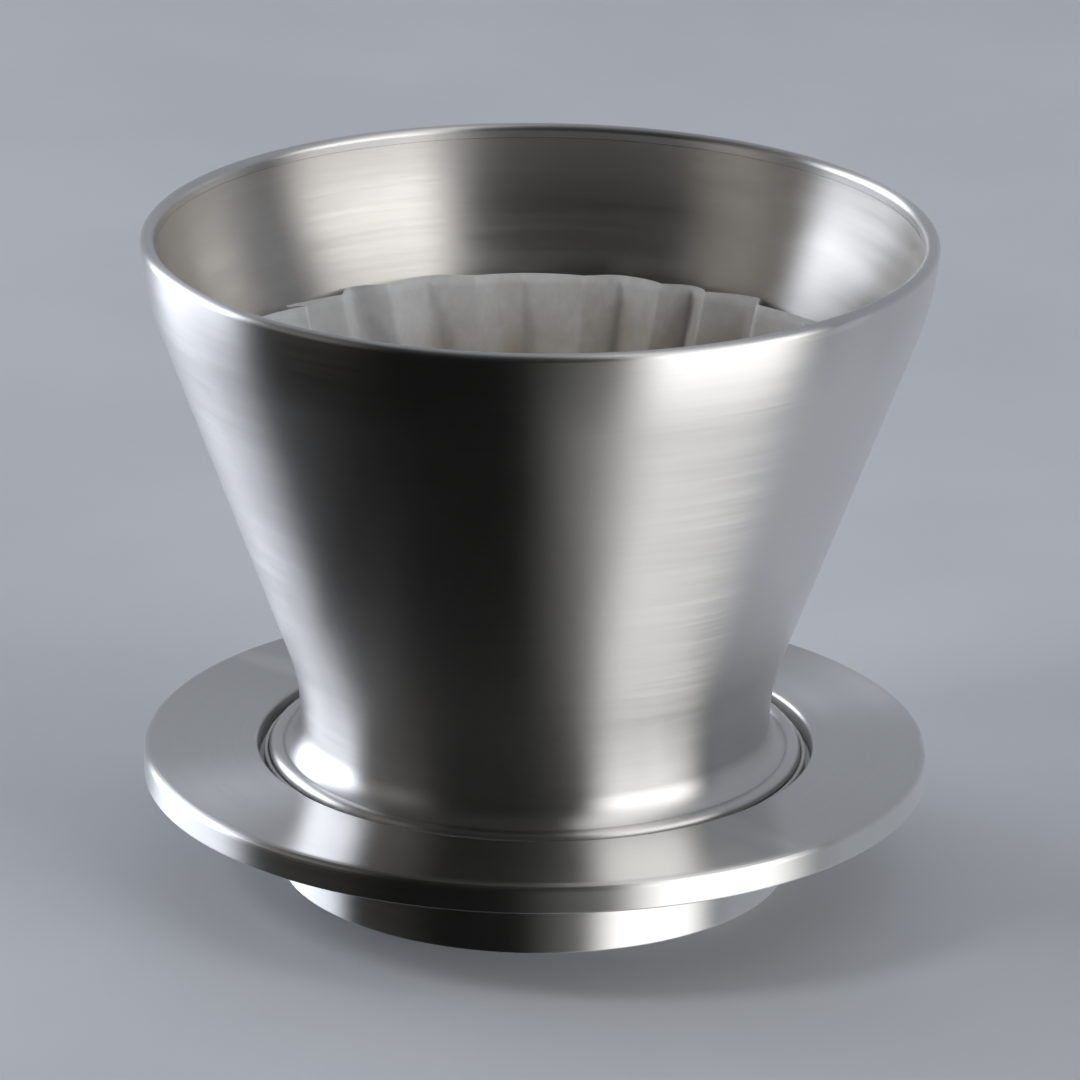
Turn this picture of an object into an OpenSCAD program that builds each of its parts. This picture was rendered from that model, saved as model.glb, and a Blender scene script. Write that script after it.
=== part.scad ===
// Pour over coffee dripper: a double-walled steel cone that lifts out of a
// recessed base ring, with a fluted paper filter standing in the cone.
// +Z is up, the origin is the centre of the collar's lower edge, sizes in mm.

/* [Body] */
// Outside diameter of the rim
rim_d = 110; // [106:1:114]
// Height of the rim above the base's top face
body_h = 74.3; // [70:0.1:80]
// Outside diameter of the waist
waist_d = 66; // [64:1:67]
// Height of the waist above the base's top face
waist_h = 4; // [4:0.1:4.5]
// Radius of the long curve that ends at the rim
lip_curve = 40; // [32:1:44]
// Radius of the curve from the waist up to the cone
waist_curve = 30; // [24:1:34]
// Radius of the flare from the waist down to the foot
foot_fillet = 5; // [4.8:0.1:5]
// Radius of the rolled bead round the foot
bead_r = 1.2; // [1.1:0.05:1.2]
// Sheet thickness of both walls
sheet = 0.6; // [0.5:0.05:0.65]
// Width of the rim, from the outside wall to the inside wall
rim_w = 2; // [1.8:0.1:2.4]
// Depth of the rim's inside return, down to the seam with the liner
return_h = 1.8; // [1.5:0.1:3]

/* [Drain] */
// Height of the drain disc's top above the base's top face
floor_h = 4.4; // [4.2:0.1:5]
// Thickness of the drain disc
disc_t = 1; // [0.8:0.1:1.2]
// Diameter of a drain hole
drain_hole_d = 3.2; // [2:0.1:4]
// Height of the ribs that keep the paper off the disc
rib_h = 0.7; // [0.4:0.1:1]

/* [Base] */
// Outside diameter of the base ring
base_d = 110; // [104:1:120]
// Thickness of the base ring at its edge
base_h = 4.3; // [4.3:0.1:6]
// Diameter of the recess that the foot sits in
recess_d = 78; // [77.6:0.1:79]
// Outside diameter of the collar
collar_d = 71.6; // [70:0.2:71.8]
// Length of the collar below the base ring
collar_h = 13.7; // [8:0.1:20]
// Sheet thickness of the base cover
cover_t = 0.7; // [0.6:0.05:0.7]
// Sheet thickness of the plate that closes the base ring
underplate_t = 0.6; // [0.5:0.05:0.6]
// Thickness of the seal under the foot
seal_t = 0.8; // [0.7:0.05:0.8]

/* [Filter] */
// Height of the paper filter
filter_h = 49; // [40:1:60]
// Number of flutes round the filter
flute_count = 24; // [16:1:30]
// Depth of a flute at the filter's top edge
flute_depth = 4.2; // [2:0.1:5]
// Thickness of the paper
paper_t = 0.3; // [0.2:0.05:0.5]

/* [Hidden] */
$fn = 96;

steel = [0.72, 0.71, 0.69];
bright_steel = [0.78, 0.77, 0.75];
silicone = [0.75, 0.76, 0.77];
paper_white = [0.93, 0.91, 0.86];

slack = 0.04;            // gap left between pieces that touch
weld_gap = 0.1;          // gap left where a weld joins two pieces
arc_steps = 20;          // segments in a long curve
corner_steps = 5;        // segments in a small corner

rim_r = rim_d / 2;
waist_r = waist_d / 2;
top_z = collar_h + base_h;              // top face of the base ring
rim_z = top_z + body_h;
waist_z = top_z + waist_h;
lip_z = rim_z - rim_w / 2;              // centre of the rounded rim

// The body's outside is one smooth line: the foot's flare, the waist curve, a
// straight cone and the rim curve. The rim curve's centre is a little above
// the rim, so the wall still leans outwards by a few degrees at the top.
flare_c = [waist_r + foot_fillet, waist_z];
waist_c = [waist_r + waist_curve, waist_z];
rim_curve_rise = 1.8;
rim_curve_reach = sqrt(pow(lip_curve, 2) - pow(rim_curve_rise + rim_w / 2, 2));
lip_c = [rim_r - rim_curve_reach, rim_z + rim_curve_rise];
span = lip_c - waist_c;
cone_a = asin((lip_curve + waist_curve) / norm(span)) + atan2(span.x, span.y);

// The liner lies inside the outer wall, and its top edge butts against the
// rim's return.
liner_in = rim_w;                       // inset of the liner's inside face
liner_out = rim_w - sheet;              // inset of its outside face
seam_z = rim_z - return_h;              // lower edge of the rim's return

disc_z = top_z + floor_h;               // top face of the drain disc
ledge_z = disc_z - disc_t;              // the disc rests on the liner's ledge
ledge_w = 4;                            // width of that ledge
disc_gap = 0.3;                         // gap round the disc
hub_lap = 0.3;                          // how far the closure's hub laps the ledge
disc_r = cone_r(ledge_z, liner_in) - disc_gap;
hub_r = disc_r + disc_gap - ledge_w + hub_lap;

// The bead's circle passes through the end of the flare.
flare_end_a = 57;                       // angle of the flare's end below level
bead_lean = 40;                         // how far below level the bead's centre lies
flare_end = flare_c - foot_fillet * [cos(flare_end_a), sin(flare_end_a)];
bead_c = flare_end + bead_r * [cos(bead_lean), -sin(bead_lean)];
free_edge_a = -120;                     // where the rolled edge ends
foot_z = bead_c.y - bead_r;             // lowest line of the body

seat_z = foot_z - seal_t;               // floor of the recess in the base
recess_r = recess_d / 2;
collar_r = collar_d / 2;
collar_bend = 0.8;                      // radius where the ledge turns down
ledge_bend = 0.6;                       // the same bend's radius on its underside
base_r = base_d / 2;

filter_z = disc_z + rib_h + slack;
foot_gap = 0.9;                         // gap round the filter's foot
mouth_gap = 0.6;                        // gap round the filter's top edge
filter_foot_r = cone_r(filter_z, liner_in) - foot_gap;
filter_top_r = cone_r(filter_z + filter_h, liner_in) - mouth_gap;

// Radius of the straight cone at height z, inset by d from the outside.
function cone_r(z, d) =
    lip_c.x + (lip_curve - d) / cos(cone_a)
    - (lip_c.y - z) * tan(cone_a);

// Points on a circle from angle a to angle b.
function arc(c, r, a, b, steps = arc_steps) =
    [for (i = [0 : steps]) c + r * [cos(a + (b - a) * i / steps), sin(a + (b - a) * i / steps)]];

function reversed(path) = [for (i = [len(path) - 1 : -1 : 0]) path[i]];

// Angle on the rim curve, inset by d, at height z.
function lip_a(z, d) = asin((z - lip_c.y) / (lip_curve - d));

// The three curves of the body's line, each inset by d and running upwards.
function flare(d, further = 0) = arc(flare_c, foot_fillet + d, 180 + flare_end_a + further, 180);
function waist(d) = arc(waist_c, waist_curve + d, 180, 180 - cone_a);
function lip(d, z) = arc(lip_c, lip_curve - d, -cone_a, lip_a(z, d));
function lip_between(d, z0, z1) = arc(lip_c, lip_curve - d, lip_a(z0, d), lip_a(z1, d), corner_steps);

// A closed outline whose corners, [x, y, radius], are rounded.
function rounded(corners) = [
    for (i = [0 : len(corners) - 1])
        let (
            n = len(corners),
            p = [corners[i].x, corners[i].y],
            a = corners[(i + n - 1) % n],
            b = corners[(i + 1) % n],
            u = unit([a.x, a.y] - p),
            v = unit([b.x, b.y] - p),
            half = acos(u * v) / 2,
            r = corners[i].z,
            c = p + unit(u + v) * r / sin(half),
            turn = (u.x * v.y - u.y * v.x > 0 ? 1 : -1) * (180 - 2 * half),
            first = atan2((p + u * r / tan(half) - c).y, (p + u * r / tan(half) - c).x)
        )
        each r == 0 ? [p] : arc(c, r, first, first - turn, corner_steps)
];

function unit(v) = v / norm(v);

module lathe(points) rotate_extrude() polygon(points);

// Outer wall, with a rolled bead at the foot and a rounded rim that returns
// down the inside.
module outer_shell() {
    rim_c = lip_c + [(lip_curve - rim_w / 2) * cos(lip_a(lip_z, rim_w / 2)), lip_z - lip_c.y];
    inner_meet_a = 185;      // where the bead's inside meets the wall's inside
    run_on_a = 5;            // how much further the wall's inside runs to meet it
    bead_steps = 32;
    color(steel)
    lathe(concat(
        flare(0), waist(0), lip(0, lip_z),
        arc(rim_c, rim_w / 2, 0, 180),
        lip_between(liner_in, lip_z, seam_z),
        lip_between(liner_out, seam_z, lip_z),
        arc(rim_c, rim_w / 2 - sheet, 180, 0),
        reversed(lip(sheet, lip_z)), reversed(waist(sheet)), reversed(flare(sheet, run_on_a)),
        arc(bead_c, bead_r - sheet, inner_meet_a, free_edge_a, bead_steps),
        arc(bead_c, bead_r, free_edge_a, 180 - bead_lean, bead_steps)
    ));
}

// Inner wall, from the seam under the rim to the ledge under the drain disc.
module inner_liner() {
    corner_r = 1;
    low_z = ledge_z - sheet;
    top_edge_z = seam_z - slack;
    wall_in_r = cone_r(ledge_z, liner_in);
    wall_out_r = cone_r(low_z, liner_out);
    color(bright_steel)
    lathe(concat(
        [[wall_in_r - ledge_w, low_z], [wall_out_r - corner_r, low_z]],
        arc([wall_out_r - corner_r, low_z + corner_r], corner_r, -90, -cone_a, corner_steps),
        lip(liner_out, top_edge_z),
        reversed(lip(liner_in, top_edge_z)),
        [[wall_in_r, ledge_z], [wall_in_r - ledge_w, ledge_z]]
    ));
}

// Number of drain holes in a ring, where ring 0 is the hole in the middle.
function holes_in(ring) = max(1, 6 * ring);

// Perforated disc with ribs that hold the paper off its face.
module drain_disc() {
    ring_count = 3;
    ring_pitch = disc_r * 0.3;
    rib_count = 12;
    rib_w = 1.2;
    rib_from = disc_r * 0.7;
    rib_length = disc_r * 0.25;
    color(bright_steel)
    difference() {
        union() {
            translate([0, 0, ledge_z + slack / 2]) cylinder(r = disc_r, h = disc_t);
            for (i = [0 : rib_count - 1])
                rotate(360 * (i + 0.5) / rib_count)
                translate([rib_from, -rib_w / 2, disc_z - disc_t / 2])
                cube([rib_length, rib_w, disc_t / 2 + rib_h]);
        }
        for (ring = [0 : ring_count - 1], i = [0 : holes_in(ring) - 1])
            rotate(360 * i / holes_in(ring))
            translate([ring * ring_pitch, 0, ledge_z - disc_t])
            cylinder(d = drain_hole_d, h = 3 * disc_t);
    }
}

// Annular cap that closes the space between the walls from below.
module foot_closure() {
    lift = 0.3;              // height of the plate above the body's lowest line
    bend_outside = 0.9;      // radii where the plate turns up into its hub
    bend_inside = 0.4;
    low = foot_z + lift;
    high = low + sheet;
    edge_r = bead_c.x + bead_r * cos(free_edge_a) - weld_gap;
    hub_top = ledge_z - sheet - slack;
    color(steel)
    lathe(rounded([
        [hub_r - sheet, low, bend_outside], [edge_r, low, 0], [edge_r, high, 0],
        [hub_r, high, bend_inside], [hub_r, hub_top, 0], [hub_r - sheet, hub_top, 0]
    ]));
}

// Silicone ring, L-shaped in section, that the foot stands on.
module foot_seal() {
    lip_t = 0.6;             // thickness of the lip that stands round the bead
    lip_h = 1;               // height of that lip above the body's lowest line
    lip_gap = 0.1;           // gap between the lip and the bead
    lip_round = 0.28;
    edge_round = 0.2;
    root_round = 0.1;
    low = seat_z + slack / 2;
    high = foot_z - slack / 2;
    lip_top = foot_z + lip_h;
    outer = bead_c.x + bead_r + lip_gap + lip_t;
    inner = collar_r - cover_t + collar_bend + slack;
    color(silicone)
    lathe(rounded([
        [inner, low, 0], [outer, low, edge_round],
        [outer, lip_top, lip_round], [outer - lip_t, lip_top, lip_round],
        [outer - lip_t, high, root_round], [inner, high, edge_round]
    ]));
}

// Top of the base ring, its recess and the collar, drawn from one sheet.
module base_cover() {
    collar_edge = 0.25;      // rounding of the collar's lower edge
    skirt_edge = [0.2, 0.3]; // of the skirt's lower edge, inside and outside
    rim_bend = [0.5, 1.1];   // radii of each bend, underneath and on top
    mouth_bend = [0.3, 0.6];
    seat_bend = [1, 0.3];
    under_seat = seat_z - cover_t;
    under_top = top_z - cover_t;
    color(steel)
    lathe(rounded([
        [collar_r, 0, collar_edge], [collar_r, under_seat, ledge_bend],
        [recess_r + cover_t, under_seat, seat_bend[0]], [recess_r + cover_t, under_top, mouth_bend[0]],
        [base_r - cover_t, under_top, rim_bend[0]], [base_r - cover_t, collar_h, skirt_edge[0]],
        [base_r, collar_h, skirt_edge[1]], [base_r, top_z, rim_bend[1]],
        [recess_r, top_z, mouth_bend[1]], [recess_r, seat_z, seat_bend[1]],
        [collar_r - cover_t, seat_z, collar_bend], [collar_r - cover_t, 0, collar_edge]
    ]));
}

// Flat plate that closes the base ring from below and rests on the server.
module base_underplate() {
    edge_round = 0.15;
    inner = collar_r + ledge_bend + slack;
    outer = base_r - cover_t - slack;
    high = collar_h + underplate_t;
    color(steel)
    lathe(rounded([
        [inner, collar_h, edge_round], [outer, collar_h, edge_round],
        [outer, high, 0], [inner, high, 0]
    ]));
}

// Outline of the fluted paper at tip radius r and flute depth d.
module flutes(r, d) {
    points_each = 6;
    steps = flute_count * points_each;
    polygon([for (i = [0 : steps - 1])
        let (a = 360 * i / steps)
        (r - d * (1 - cos(flute_count * a)) / 2) * [cos(a), sin(a)]]);
}

// Fluted paper cup. The flutes deepen towards the top, as the cone widens.
module paper_filter() {
    growth = filter_top_r / filter_foot_r;
    foot_depth = flute_depth / growth;
    color(paper_white)
    translate([0, 0, filter_z])
    difference() {
        linear_extrude(filter_h, scale = growth) flutes(filter_foot_r, foot_depth);
        translate([0, 0, paper_t])
        linear_extrude(filter_h, scale = growth) flutes(filter_foot_r - paper_t, foot_depth);
    }
}

outer_shell();
inner_liner();
drain_disc();
foot_closure();
foot_seal();
base_cover();
base_underplate();
paper_filter();
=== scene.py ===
import math
import random

import bpy
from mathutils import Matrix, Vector


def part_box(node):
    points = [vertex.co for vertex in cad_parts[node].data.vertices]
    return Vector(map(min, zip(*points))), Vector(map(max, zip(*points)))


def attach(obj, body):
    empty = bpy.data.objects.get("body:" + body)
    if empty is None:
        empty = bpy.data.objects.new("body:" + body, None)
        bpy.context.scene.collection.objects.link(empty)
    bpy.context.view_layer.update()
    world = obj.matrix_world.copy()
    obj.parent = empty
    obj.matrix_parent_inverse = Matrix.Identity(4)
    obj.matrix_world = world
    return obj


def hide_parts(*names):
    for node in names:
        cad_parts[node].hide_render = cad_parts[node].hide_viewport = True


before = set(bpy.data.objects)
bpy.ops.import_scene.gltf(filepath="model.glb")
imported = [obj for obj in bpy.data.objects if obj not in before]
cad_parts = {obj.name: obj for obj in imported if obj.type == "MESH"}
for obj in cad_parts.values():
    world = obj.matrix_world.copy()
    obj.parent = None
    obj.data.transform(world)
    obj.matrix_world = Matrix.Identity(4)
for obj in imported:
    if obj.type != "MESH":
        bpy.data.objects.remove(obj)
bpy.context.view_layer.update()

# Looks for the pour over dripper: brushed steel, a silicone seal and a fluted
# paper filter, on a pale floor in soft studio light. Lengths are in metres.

MM = 0.001


# ---------------------------------------------------------------- shader nodes

class Shader:
    """A material's or world's node tree, with short calls for adding nodes."""

    def __init__(self, tree):
        self.tree = tree
        tree.nodes.clear()

    def add(self, kind, inputs=None, **settings):
        node = self.tree.nodes.new(kind)
        for name, value in settings.items():
            setattr(node, name, value)
        for name, value in (inputs or {}).items():
            self.put(node.inputs[name], value)
        return node

    def put(self, socket, value):
        if isinstance(value, bpy.types.NodeSocket):
            self.tree.links.new(value, socket)
        else:
            socket.default_value = value

    def math(self, operation, a, b=0.0, c=0.0, clamp=False):
        inputs = {0: a, 1: b, 2: c}
        return self.add("ShaderNodeMath", inputs, operation=operation, use_clamp=clamp).outputs[0]

    def blend(self, share, a, b):
        """a where share is 0 and b where it is 1, for colours."""
        node = self.add("ShaderNodeMix", data_type="RGBA")
        self.put(node.inputs["Factor"], share)
        self.put(node.inputs[6], a)
        self.put(node.inputs[7], b)
        return node.outputs[2]

    def ramp(self, value, low, high, to_low=0.0, to_high=1.0):
        """value, taken smoothly from low..high to to_low..to_high."""
        inputs = {
            "Value": value,
            "From Min": low,
            "From Max": high,
            "To Min": to_low,
            "To Max": to_high,
        }
        node = self.add("ShaderNodeMapRange", inputs, interpolation_type="SMOOTHSTEP")
        return node.outputs["Result"]

    def vary(self, noise, swing, base):
        """base, moved up and down by a share of swing, where noise runs from 0 to 1."""
        return self.math("MULTIPLY_ADD", self.math("SUBTRACT", noise, 0.5), swing, base)

    def noise(self, vector, w, scale=1.0, detail=2.0, roughness=0.5):
        inputs = {
            "Vector": vector,
            "W": w,
            "Scale": scale,
            "Detail": detail,
            "Roughness": roughness,
        }
        node = self.add("ShaderNodeTexNoise", inputs, noise_dimensions="4D")
        return node.outputs["Fac"]

    def vector(self, x, y, z):
        return self.add("ShaderNodeCombineXYZ", {0: x, 1: y, 2: z}).outputs[0]


def new_material(name):
    material = bpy.data.materials.new(name)
    material.use_nodes = True
    return material, Shader(material.node_tree)


def colour(r, g, b):
    return (r, g, b, 1.0)


class Turned:
    """Coordinates of a piece turned about Z: radius, height and the angle's cosine and sine."""

    def __init__(self, shader):
        self.shader = shader
        place = shader.add("ShaderNodeTexCoord").outputs["Object"]
        split = shader.add("ShaderNodeSeparateXYZ", {0: place}).outputs
        flat = shader.vector(split[0], split[1], 0.0)
        self.place = place
        self.height = split[2]
        length = shader.add("ShaderNodeVectorMath", {0: flat}, operation="LENGTH")
        self.radius = length.outputs["Value"]
        self.cos = shader.math("DIVIDE", split[0], self.radius)
        self.sin = shader.math("DIVIDE", split[1], self.radius)

    def rings(self, width, length, detail=2.0, roughness=0.5):
        """Noise drawn out round the axis into marks of this width, and this length at rim_r."""
        s = self.shader
        rim_r = 50 * MM
        across = 1.0 / width
        along = rim_r / length
        vector = s.vector(
            s.math("MULTIPLY", self.radius, across),
            s.math("MULTIPLY", self.height, across),
            s.math("MULTIPLY", self.cos, along),
        )
        return s.noise(vector, s.math("MULTIPLY", self.sin, along), 1.0, detail, roughness)


# ------------------------------------------------------------------- materials

# Below a roughness of about 0.274 the denoiser takes the steel for a mirror, and
# draws cracks on it.
SMOOTHEST_STEEL = 0.285


def brushed_steel(name, tint, roughness, grain, marking, wear=1.0):
    """Steel brushed round the axis.

    grain is the depth of its finest lines, marking how plain its polishing rings
    are and wear how much its edges are rubbed bright.
    """
    material, s = new_material(name)
    at = Turned(s)
    lines = at.rings(0.20 * MM, 8 * MM, detail=1.0)
    streaks = at.rings(0.5 * MM, 18 * MM, detail=2.0)
    rings = at.rings(3.2 * MM, 120 * MM, detail=3.0, roughness=0.55)
    clouds = s.noise(at.place, 0.0, 42.0, 3.0, 0.55)
    waves = s.noise(at.place, 3.0, 75.0, 1.0)
    worn = s.ramp(s.add("ShaderNodeNewGeometry").outputs["Pointiness"], 0.53, 0.62, 0.0, wear)

    shade = s.vary(rings, 0.22 * marking, s.vary(streaks, 0.10, 1.0))
    tinted = s.add("ShaderNodeVectorMath", {0: tint[:3]}, operation="SCALE")
    s.put(tinted.inputs["Scale"], shade)
    worn_tint = colour(*[min(1.0, 1.12 * c) for c in tint[:3]])
    steel = s.blend(worn, tinted.outputs[0], worn_tint)

    rough = s.vary(rings, 0.20 * marking, s.vary(streaks, 0.10, roughness))
    rough = s.math("ADD", rough, s.ramp(clouds, 0.45, 0.75, -0.01, 0.035))
    rough = s.math("SUBTRACT", rough, s.math("MULTIPLY", worn, 0.08))
    rough = s.math("MAXIMUM", rough, SMOOTHEST_STEEL)

    wave_depth = 0.035 * MM      # of the soft hollows that spinning leaves
    fine = s.add("ShaderNodeBump", {"Strength": 1.0, "Distance": grain, "Height": lines})
    wavy = s.add("ShaderNodeBump", {
        "Strength": 1.0,
        "Distance": wave_depth,
        "Height": waves,
        "Normal": fine.outputs[0],
    })
    tangent = s.add("ShaderNodeTangent", direction_type="RADIAL", axis="Z")
    surface = s.add("ShaderNodeBsdfPrincipled", {
        "Base Color": steel,
        "Metallic": 1.0,
        "Roughness": rough,
        "Anisotropic": 0.95,
        "Anisotropic Rotation": 0.25,      # the highlights stretch across the brushing
        "Tangent": tangent.outputs[0],
        "Normal": wavy.outputs[0],
    })
    s.add("ShaderNodeOutputMaterial", {"Surface": surface.outputs[0]})
    return material


def silicone(name):
    """Soft, slightly clear silicone with a faint moulded grain."""
    material, s = new_material(name)
    at = Turned(s)
    grain = s.noise(at.place, 0.0, 2600.0, 2.0)
    clouds = s.noise(at.place, 1.0, 90.0, 2.0)
    pale, paler = colour(0.50, 0.51, 0.52), colour(0.60, 0.61, 0.62)
    tone = s.blend(s.ramp(clouds, 0.35, 0.65), pale, paler)
    bump = s.add("ShaderNodeBump", {"Strength": 0.3, "Distance": 0.03 * MM, "Height": grain})
    surface = s.add("ShaderNodeBsdfPrincipled", {
        "Base Color": tone,
        "Roughness": s.ramp(grain, 0.3, 0.7, 0.38, 0.55),
        "Subsurface Weight": 0.25,
        "Subsurface Radius": (1.0, 0.95, 0.9),
        "Subsurface Scale": 1 * MM,
        "Normal": bump.outputs[0],
    })
    s.add("ShaderNodeOutputMaterial", {"Surface": surface.outputs[0]})
    return material


def filter_paper(name, foot_z, top_z):
    """Soft fibrous paper, with a coffee stain that rises from the foot.

    The stain stands highest at the back right, where most of the coffee was.
    """
    stain_lean = 0.25        # how much higher it stands there than at the sides, in filter heights
    stain_wander = 0.45      # how far its edge wanders up and down, in filter heights
    stain_colour = colour(0.33, 0.25, 0.15)
    dry, dry_light = colour(0.70, 0.705, 0.715), colour(0.77, 0.775, 0.785)
    material, s = new_material(name)
    at = Turned(s)
    fibres = s.noise(at.place, 0.0, 2400.0, 4.0, 0.7)
    clumps = s.noise(at.place, 2.0, 420.0, 3.0, 0.6)
    wander = s.noise(at.place, 5.0, 110.0, 3.0, 0.6)
    up = s.math("DIVIDE", s.math("SUBTRACT", at.height, foot_z), top_z - foot_z)
    side = s.math("ADD", s.math("MULTIPLY", at.cos, 0.5), s.math("MULTIPLY", at.sin, 0.87))
    edge = s.math("MULTIPLY_ADD", side, -stain_lean, up)
    edge = s.vary(wander, -stain_wander, edge)
    stain = s.ramp(edge, 0.30, 0.88, 0.85, 0.0)
    paper = s.blend(s.ramp(clumps, 0.3, 0.7), dry, dry_light)
    paper = s.blend(stain, paper, stain_colour)
    height = s.math("MULTIPLY_ADD", fibres, 0.5, clumps)
    bump = s.add("ShaderNodeBump", {"Strength": 0.7, "Distance": 0.08 * MM, "Height": height})
    surface = s.add("ShaderNodeBsdfPrincipled", {
        "Base Color": paper,
        "Roughness": s.ramp(fibres, 0.3, 0.7, 0.78, 0.95),
        "Subsurface Weight": 0.15,
        "Subsurface Radius": (1.0, 0.9, 0.8),
        "Subsurface Scale": 0.5 * MM,
        "Sheen Weight": 0.1,
        "Normal": bump.outputs[0],
    })
    s.add("ShaderNodeOutputMaterial", {"Surface": surface.outputs[0]})
    return material


def floor_finish(name):
    """A matt, pale table top with the faintest mottle."""
    material, s = new_material(name)
    place = s.add("ShaderNodeTexCoord").outputs["Object"]
    mottle = s.noise(place, 0.0, 14.0, 3.0)
    darker, lighter = colour(0.55, 0.57, 0.61), colour(0.59, 0.61, 0.65)
    tone = s.blend(s.ramp(mottle, 0.3, 0.7), darker, lighter)
    surface = s.add("ShaderNodeBsdfPrincipled", {"Base Color": tone, "Roughness": 0.55})
    s.add("ShaderNodeOutputMaterial", {"Surface": surface.outputs[0]})
    return material


def set_material(node, material):
    """Gives a carried-over CAD node its material."""
    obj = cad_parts[node]
    if not obj.material_slots:
        obj.data.materials.append(None)
    for slot in obj.material_slots:
        slot.link = "OBJECT"
        slot.material = material


# ---------------------------------------------------------------- paper filter

FLUTES = 24
FIRST_FLUTE = 0.18      # how far round the first flute stands, in flutes
PAPER_T = 0.22 * MM

# Where the mesh has columns between an outer fold, at 0, and the next inner fold,
# at 1, and then across a whole flute.
FOLD_STEPS = (0.0, 0.16, 0.34, 0.54, 0.74, 0.88, 0.955)
FLUTE_COLUMNS = [s / 2 for s in FOLD_STEPS] + [1 - s / 2 for s in (1.0,) + FOLD_STEPS[:0:-1]]


def cad_radius(node, z, reach=0.15 * MM):
    """Largest radius of a CAD node near a height."""
    points = [v.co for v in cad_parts[node].data.vertices if abs(v.co.z - z) < reach]
    return max(math.hypot(p.x, p.y) for p in points)


def fold_wave(part):
    """0 on a flute's outer folds, 1 on its inner fold, and nearly straight panels between.

    crisp and soft are the sharpness of the inner and outer folds, as shares of a panel.
    """
    crisp, soft = 0.03, 0.36
    share = 1 - abs(2 * part - 1)

    def level(x):
        return math.hypot(x, soft) - math.hypot(1 - x, crisp)

    return (level(share) - level(0)) / (level(1) - level(0))


def filter_mesh(low, high):
    """One pleated sheet of paper: a flat floor, a tight bend and a flaring wall.

    Every line up the wall is equally long, so an inner fold, which stands more
    upright, ends higher than an outer one.
    """
    # The seed was searched for, so that the folds at the back stand roughly where the
    # photo's do.
    rng = random.Random(1719)
    foot_z, top_z = low.z + PAPER_T, high.z
    foot_r = cad_radius("paper_filter", low.z) - PAPER_T
    top_r = cad_radius("paper_filter", top_z) - PAPER_T
    foot_depth, top_depth = 1.8 * MM, 6.0 * MM
    bend_r = 1.3 * MM
    bend_rise = 0.6 * bend_r
    wall_rows, bend_rows = 30, 5
    floor_shares = (0.25, 0.5, 0.7, 0.82, 0.9)
    flat_share = 0.7         # how much of the floor's radius is free of folds
    wall_length = math.hypot(top_r - foot_r, top_z - foot_z - bend_rise)

    folds = [
        {
            "turn": rng.uniform(-0.15, 0.15),
            "slant": rng.uniform(-0.10, 0.10),
            "lean": rng.uniform(-0.28, 0.28),
            "depth": rng.uniform(0.80, 1.12),
            "lift": rng.uniform(-0.25, 0.15) * MM,
            "bow": rng.uniform(-0.30, 0.30) * MM,
        }
        for _ in range(FLUTES)
    ]

    def column(flute, part):
        """The points of the sheet from its middle to the top edge, at one place round it."""
        here, after = folds[flute], folds[(flute + 1) % FLUTES]
        mix = part * part * (3 - 2 * part)
        inset = fold_wave(part) * here["depth"]

        def between(key):
            return (1 - mix) * here[key] + mix * after[key]

        start_r = foot_r - foot_depth * inset
        lean_in = top_r - top_depth * inset - start_r
        rise = math.sqrt(wall_length ** 2 - lean_in ** 2)
        bend = math.atan2(rise, lean_in)
        line = []
        for share in floor_shares:
            depth = foot_depth * inset * max(0.0, (share - flat_share) / (1 - flat_share))
            line.append((share * foot_r - depth, foot_z, 0.0))
        for i in range(bend_rows):
            a = bend * i / (bend_rows - 1)
            r = start_r - bend_r * (1 - math.sin(a))
            line.append((r, foot_z + bend_r * (1 - math.cos(a)), 0.0))
        base_r, base_z, _ = line[-1]
        for i in range(1, wall_rows + 1):
            share = i / wall_rows
            bow = here["bow"] * math.sin(math.pi * share) * math.sin(math.pi * part) ** 2
            r = base_r + (start_r + lean_in - base_r) * share + bow
            line.append((r, base_z + rise * share + between("lift") * share ** 2, share))
        placed = []
        for r, z, share in line:
            turn = between("turn") * min(1.0, 3 * share) + between("slant") * share
            turn += here["lean"] * math.sin(math.pi * part) ** 2 * share
            angle = math.tau * (flute + part + turn + FIRST_FLUTE) / FLUTES
            placed.append((r * math.cos(angle), r * math.sin(angle), z))
        return placed

    columns = [column(flute, part) for flute in range(FLUTES) for part in FLUTE_COLUMNS]
    rows = len(columns[0])
    points = [(0.0, 0.0, foot_z)] + [point for line in columns for point in line]
    faces = []
    for c in range(len(columns)):
        a, b = 1 + c * rows, 1 + (c + 1) % len(columns) * rows
        faces.append((0, a, b))
        faces += [(a + i, a + i + 1, b + i + 1, b + i) for i in range(rows - 1)]
    mesh = bpy.data.meshes.new("fluted_paper")
    mesh.from_pydata(points, [], faces)
    mesh.update()
    for polygon in mesh.polygons:
        polygon.use_smooth = True
    return mesh


def make_filter():
    low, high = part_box("paper_filter")
    piece = bpy.data.objects.new("paper_filter_sheet", filter_mesh(low, high))
    bpy.context.scene.collection.objects.link(piece)
    thickness = piece.modifiers.new("thickness", "SOLIDIFY")
    thickness.thickness = PAPER_T
    thickness.offset = 0.0
    piece.data.materials.append(filter_paper("fluted_filter_paper", low.z, high.z))
    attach(piece, "filter")
    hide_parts("paper_filter")
    return piece


# ---------------------------------------------------------------------- studio

def make_floor():
    half = 5.0
    corners = [(-half, -half, 0), (half, -half, 0), (half, half, 0), (-half, half, 0)]
    mesh = bpy.data.meshes.new("floor")
    mesh.from_pydata(corners, [], [(0, 1, 2, 3)])
    floor = bpy.data.objects.new("floor", mesh)
    bpy.context.scene.collection.objects.link(floor)
    floor.data.materials.append(floor_finish("pale_table"))
    floor.visible_glossy = False       # the steel mirrors the studio, not the table


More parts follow.
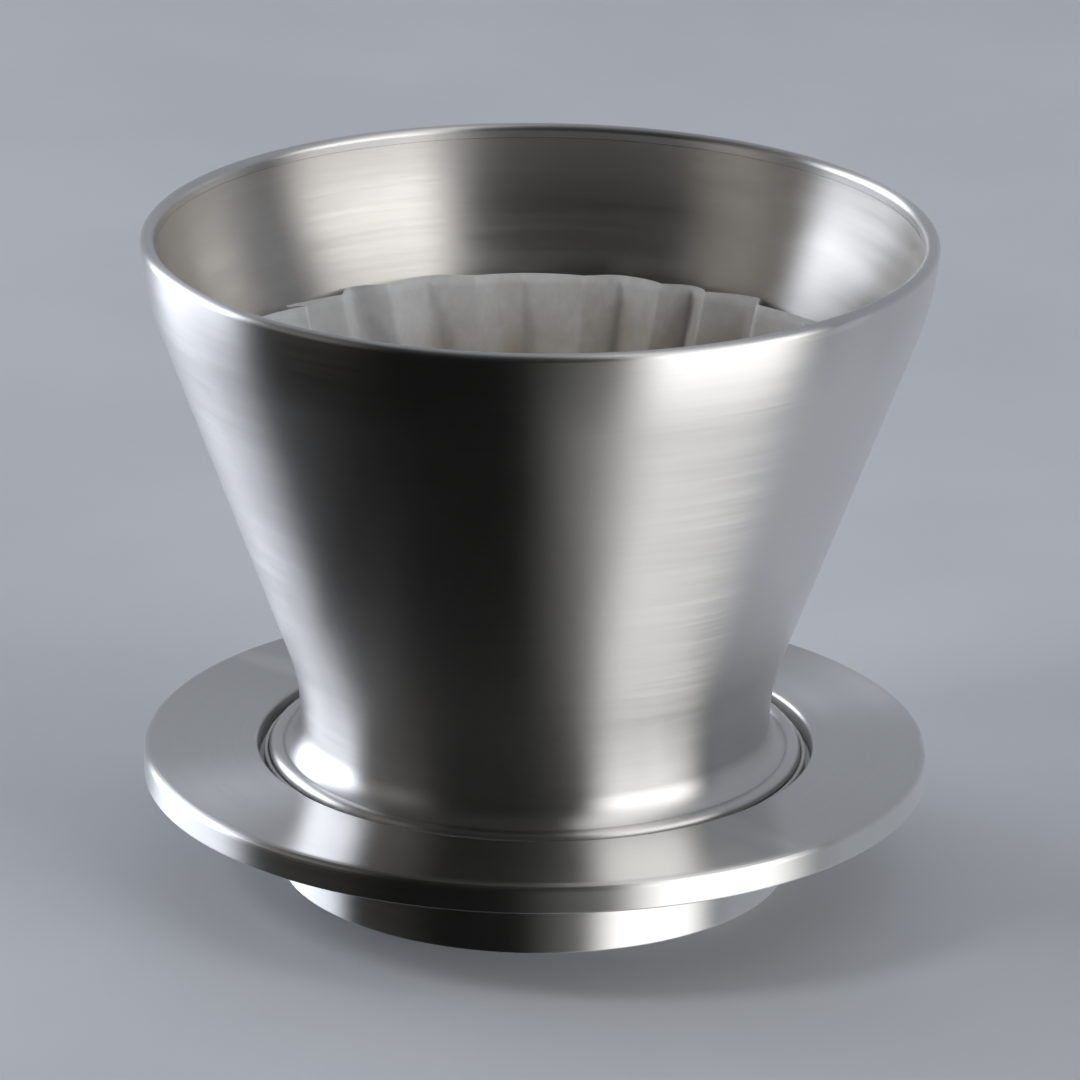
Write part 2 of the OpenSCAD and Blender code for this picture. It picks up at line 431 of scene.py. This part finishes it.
def make_world():
    """Soft panels round the object, by compass angle and elevation, in degrees.

    A compass angle of 0 is towards the camera and 90 is to the camera's right.
    """
    world = bpy.data.worlds.new("studio")
    bpy.context.scene.world = world
    world.use_nodes = True
    s = Shader(world.node_tree)
    direction = s.add("ShaderNodeTexCoord").outputs["Generated"]
    split = s.add("ShaderNodeSeparateXYZ", {0: direction}).outputs
    angle = s.math("ARCTAN2", split[0], s.math("MULTIPLY", split[1], -1.0))
    rise = s.math("ARCSINE", split[2])

    def across(centre, half_width, softness):
        """1 inside a compass range and 0 outside it."""
        away = s.math("SUBTRACT", angle, math.radians(centre))
        away = s.math("ABSOLUTE", s.math("WRAP", away, math.pi, -math.pi))
        inner, outer = math.radians(half_width - softness), math.radians(half_width + softness)
        return s.ramp(away, inner, outer, 1.0, 0.0)

    def upward(low, high, at_low, at_high):
        """A value that changes from at_low to at_high between two elevations."""
        return s.ramp(rise, math.radians(low), math.radians(high), at_low, at_high)

    def panel(tone, compass, *levels):
        strength = compass
        for level in levels:
            strength = s.math("MULTIPLY", strength, level)
        light = s.add("ShaderNodeVectorMath", {0: tone}, operation="SCALE")
        s.put(light.inputs["Scale"], strength)
        return light.outputs[0]

    # Most numbers of the first three panels and the last are rounded results of a
    # program which fitted the light on the steel to the photo. The rest were set or
    # moved one by one.
    cool, plain, warm = (0.92, 0.97, 1.07), (1.0, 1.0, 1.0), (1.0, 0.96, 0.90)
    parts = [
        panel(cool, across(-119, 23, 8), upward(-39, 20, 0.0, 4.7), upward(19, 38, 1.0, 0.0)),
        panel(plain, across(56, 25, 11), upward(-70, 20, 0.64, 3.4), upward(10, 34, 1.0, 0.36)),
        panel(cool, across(164, 73, 8), upward(-50, 20, 0.59, 0.40), upward(-75, -50, 0.1, 1.0)),
        panel(plain, across(25, 16, 20), upward(-20, 5, 0.25, 0.02)),
        panel(warm, across(-78, 22, 14), upward(-5, 15, 0.0, 0.28), upward(28, 50, 1.0, 0.0)),
        panel(plain, upward(40, 90, 0.010, 0.13)),
    ]
    light = parts[0]
    for part in parts[1:]:
        light = s.add("ShaderNodeVectorMath", {0: light, 1: part}, operation="ADD").outputs[0]
    studio = s.add("ShaderNodeBackground", {"Color": light, "Strength": 1.0})
    seen = s.add("ShaderNodeBackground", {"Color": colour(0.40, 0.42, 0.46), "Strength": 1.0})
    is_camera = s.add("ShaderNodeLightPath").outputs["Is Camera Ray"]
    mix = s.add("ShaderNodeMixShader", {0: is_camera, 1: studio.outputs[0], 2: seen.outputs[0]})
    s.add("ShaderNodeOutputWorld", {"Surface": mix.outputs[0]})


def make_lamp(name, azimuth, elevation, distance, size, power, centre):
    """A square softbox that lights the matt surfaces. The steel doesn't mirror it."""
    a, e = math.radians(azimuth), math.radians(elevation)
    away = Vector((math.sin(a) * math.cos(e), -math.cos(a) * math.cos(e), math.sin(e)))
    data = bpy.data.lights.new(name, "AREA")
    data.size = size
    data.energy = power
    lamp = bpy.data.objects.new(name, data)
    bpy.context.scene.collection.objects.link(lamp)
    lamp.location = centre + away * distance
    lamp.rotation_euler = away.to_track_quat("Z", "Y").to_euler()
    lamp.visible_glossy = False


def make_camera(centre):
    """A long lens 1 m away, 19.5 degrees above the object."""
    elevation = math.radians(19.5)
    distance = 1.030
    roll = math.radians(0.41)
    aim = Vector((-9.8 * MM, 0.0, centre.z))
    back = Vector((0.0, -math.cos(elevation), math.sin(elevation)))
    data = bpy.data.cameras.new("camera")
    data.sensor_width = 36.0
    data.lens = 246.0
    data.shift_x = 0.068
    data.shift_y = 0.012
    camera = bpy.data.objects.new("camera", data)
    bpy.context.scene.collection.objects.link(camera)
    camera.location = aim + back * distance
    camera.rotation_euler = (math.pi / 2 - elevation, 0.0, 0.0)
    camera.rotation_euler.rotate_axis("Z", roll)
    bpy.context.scene.camera = camera


# ----------------------------------------------------------------------- build

body_steel = brushed_steel("spun_steel", colour(0.600, 0.590, 0.580), 0.31, 0.0010 * MM, 0.25)
# The liner's tint is the steel's own grey warmed towards brown; that warmth is a painted
# reflection of the surroundings on the inner wall.
liner_steel = brushed_steel(
    "liner_steel", colour(0.600, 0.580, 0.552), 0.33, 0.0014 * MM, 1.0, wear=0.0)
ring_steel = brushed_steel("ring_steel", colour(0.600, 0.595, 0.585), 0.32, 0.0010 * MM, 0.25)

set_material("outer_shell", body_steel)
set_material("inner_liner", liner_steel)
set_material("drain_disc", liner_steel)
set_material("foot_closure", liner_steel)
set_material("base_cover", ring_steel)
set_material("base_underplate", ring_steel)
set_material("foot_seal", silicone("seal_silicone"))
make_filter()

centre = Vector((0.0, 0.0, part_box("outer_shell")[0].z + 29.7 * MM))
make_floor()
make_world()
make_lamp("key", -72, 42, 1.1, 0.28, 2.5, centre)
make_lamp("fill", 120, 55, 1.3, 0.9, 0.2, centre)
make_camera(centre)

bpy.context.scene.view_settings.view_transform = "Standard"
